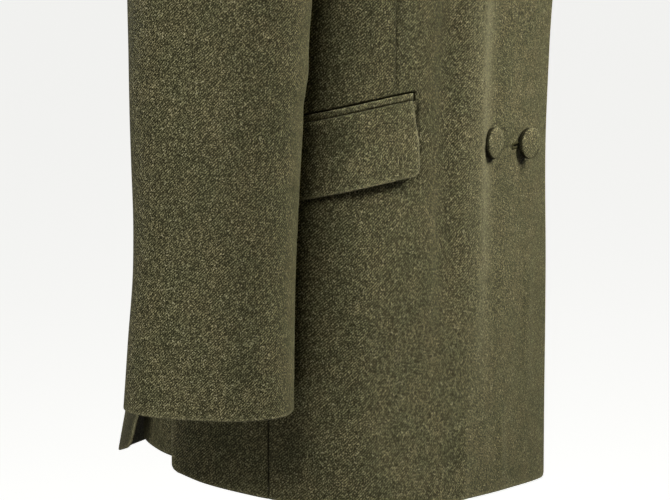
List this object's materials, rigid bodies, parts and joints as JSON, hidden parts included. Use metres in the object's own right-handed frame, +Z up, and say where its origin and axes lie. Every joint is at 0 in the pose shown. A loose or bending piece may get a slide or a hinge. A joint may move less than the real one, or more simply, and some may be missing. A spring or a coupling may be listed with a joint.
{
  "type": "tailored jacket",
  "caption": "Hollow tailored jacket in wool twill, closed double-breasted, with peak lapels, flap pockets, covered buttons and side vents.",
  "frame": {"origin": "on the shoulder line, midway between the points where the shoulder seams meet the neck: where the wearer's shoulders hold the jacket", "axes": "+Z up, the front faces -Y, the wearer's left side is +X"},
  "size_m": [0.6162, 0.3302, 0.8047],
  "materials": {
    "wool_twill": "matt brushed wool twill, olive green with lighter and darker flecks",
    "covered_button": "the same wool twill stretched over a domed button, matt"
  },
  "bodies": {
    "root": {"front_right": "wool_twill", "front_left": "wool_twill", "side_panel_right": "wool_twill", "side_panel_left": "wool_twill", "back_right": "wool_twill", "back_left": "wool_twill", "vent_underlap_right": "wool_twill", "vent_underlap_left": "wool_twill", "sleeve_top_right": "wool_twill", "sleeve_top_left": "wool_twill", "sleeve_under_right": "wool_twill", "sleeve_under_left": "wool_twill", "lapel_right": "wool_twill", "lapel_left": "wool_twill", "collar_stand": "wool_twill", "collar_fall": "wool_twill", "pocket_welt_right": "wool_twill", "pocket_welt_left": "wool_twill", "pocket_flap_right": "wool_twill", "pocket_flap_left": "wool_twill", "button_fastened": "covered_button", "button_show": "covered_button"}
  },
  "joints": []
}
